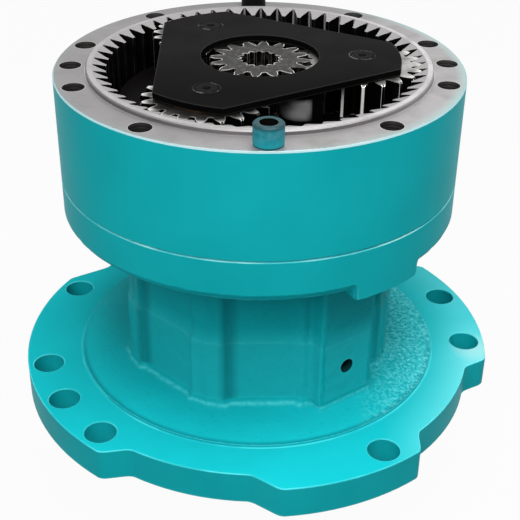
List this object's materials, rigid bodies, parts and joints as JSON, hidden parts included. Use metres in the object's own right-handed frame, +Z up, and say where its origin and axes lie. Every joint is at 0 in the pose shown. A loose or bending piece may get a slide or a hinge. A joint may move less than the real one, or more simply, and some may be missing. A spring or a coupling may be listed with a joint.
{
  "type": "excavator swing gearbox",
  "caption": "Two-stage planetary reduction gearbox with a flanged cast casing, an open splined sun gear for a motor and an output pinion under its base.",
  "frame": {"origin": "on the main axis, in the plane of the base flange's lower mounting face", "axes": "+Z up along the main axis, from the base flange to the motor face; +X through the motor bolt hole at 0 degrees; the port boss faces -57 degrees, towards -Y"},
  "size_m": [0.414, 0.4134, 0.406],
  "materials": {
    "casing_paint": "gloss enamel over cast iron",
    "ring_gear_steel": "gloss enamel outside, turned steel on the motor face and the teeth",
    "sleeve_steel": "steel with overspray",
    "seal_rubber": "matt",
    "bearing_steel": "ground",
    "cage_brass": "machined",
    "bronze": "machined",
    "gear_steel": "hobbed and oiled",
    "shaft_steel": "ground",
    "carrier_iron": "cast and machined",
    "plate_black": "black oxide, oiled",
    "fastener_steel": "blackened"
  },
  "bodies": {
    "casing": {"lower_casing": "casing_paint", "ring_gear": "ring_gear_steel", "joint_o_ring": "seal_rubber", "joint_dowels": "fastener_steel", "motor_dowel_sleeves": "sleeve_steel", "lower_bearing_cup": "bearing_steel", "upper_bearing_cup": "bearing_steel", "seal_carrier": "carrier_iron", "seal_carrier_o_ring": "seal_rubber", "seal_carrier_screws": "fastener_steel", "oil_seal": "seal_rubber"},
    "output": {"pinion_shaft": "shaft_steel", "lower_bearing_cone": "bearing_steel", "lower_bearing_rollers": "bearing_steel", "lower_bearing_cage": "cage_brass", "upper_bearing_cone": "bearing_steel", "upper_bearing_rollers": "bearing_steel", "upper_bearing_cage": "cage_brass", "lock_washer": "fastener_steel", "lock_nut": "fastener_steel", "carrier_2": "carrier_iron", "planet_pins_2": "shaft_steel", "pin_locks_2": "fastener_steel", "thrust_washers_2": "bronze", "retainer_plate": "fastener_steel", "retainer_screws": "fastener_steel", "thrust_ring": "bronze"},
    "carrier_1_unit": {"carrier_1": "carrier_iron", "carrier_plate_1": "plate_black", "planet_pins_1": "shaft_steel", "pin_locks_1": "fastener_steel", "thrust_washers_1": "bronze", "sun_gear_2": "gear_steel", "sun_snap_rings": "fastener_steel", "thrust_button": "bronze"},
    "sun_1": {"sun_gear_1": "gear_steel"},
    "planet_2a": {"planet_gear_2a": "gear_steel", "needle_rollers_2a": "bearing_steel"},
    "planet_1a": {"planet_gear_1a": "gear_steel", "needle_rollers_1a": "bearing_steel"},
    "planet_2b": {"planet_gear_2b": "gear_steel", "needle_rollers_2b": "bearing_steel"},
    "planet_1b": {"planet_gear_1b": "gear_steel", "needle_rollers_1b": "bearing_steel"},
    "planet_2c": {"planet_gear_2c": "gear_steel", "needle_rollers_2c": "bearing_steel"},
    "planet_1c": {"planet_gear_1c": "gear_steel", "needle_rollers_1c": "bearing_steel"}
  },
  "joints": [
    {"name": "output_spin", "type": "hinge", "parent": "casing", "child": "output", "pos_m": [0, 0, 0.05], "axis": [0, 0, 1], "continuous": true},
    {"name": "carrier_1_spin", "type": "hinge", "parent": "casing", "child": "carrier_1_unit", "pos_m": [0, 0, 0.255], "axis": [0, 0, 1], "continuous": true},
    {"name": "sun_1_spin", "type": "hinge", "parent": "casing", "child": "sun_1", "pos_m": [0, 0, 0.275], "axis": [0, 0, 1], "continuous": true},
    {"name": "planet_2a_spin", "type": "hinge", "parent": "output", "child": "planet_2a", "pos_m": [0.07599, 0.04387, 0.221], "axis": [0, 0, 1], "continuous": true},
    {"name": "planet_1a_spin", "type": "hinge", "parent": "carrier_1_unit", "child": "planet_1a", "pos_m": [0.08098, -0.0017, 0.275], "axis": [0, 0, 1], "continuous": true},
    {"name": "planet_2b_spin", "type": "hinge", "parent": "output", "child": "planet_2b", "pos_m": [-0.07599, 0.04387, 0.221], "axis": [0, 0, 1], "continuous": true},
    {"name": "planet_1b_spin", "type": "hinge", "parent": "carrier_1_unit", "child": "planet_1b", "pos_m": [-0.03902, 0.07098, 0.275], "axis": [0, 0, 1], "continuous": true},
    {"name": "planet_2c_spin", "type": "hinge", "parent": "output", "child": "planet_2c", "pos_m": [0, -0.08775, 0.221], "axis": [0, 0, 1], "continuous": true},
    {"name": "planet_1c_spin", "type": "hinge", "parent": "carrier_1_unit", "child": "planet_1c", "pos_m": [-0.04196, -0.06928, 0.275], "axis": [0, 0, 1], "continuous": true}
  ],
  "couplings": [
    {"joint": "carrier_1_spin", "follows": "output_spin", "ratio": 3.5455},
    {"joint": "sun_1_spin", "follows": "output_spin", "ratio": 15.955},
    {"joint": "planet_2a_spin", "follows": "output_spin", "ratio": -3.2941},
    {"joint": "planet_1a_spin", "follows": "output_spin", "ratio": -9.9273},
    {"joint": "planet_2b_spin", "follows": "output_spin", "ratio": -3.2941},
    {"joint": "planet_1b_spin", "follows": "output_spin", "ratio": -9.9273},
    {"joint": "planet_2c_spin", "follows": "output_spin", "ratio": -3.2941},
    {"joint": "planet_1c_spin", "follows": "output_spin", "ratio": -9.9273}
  ]
}
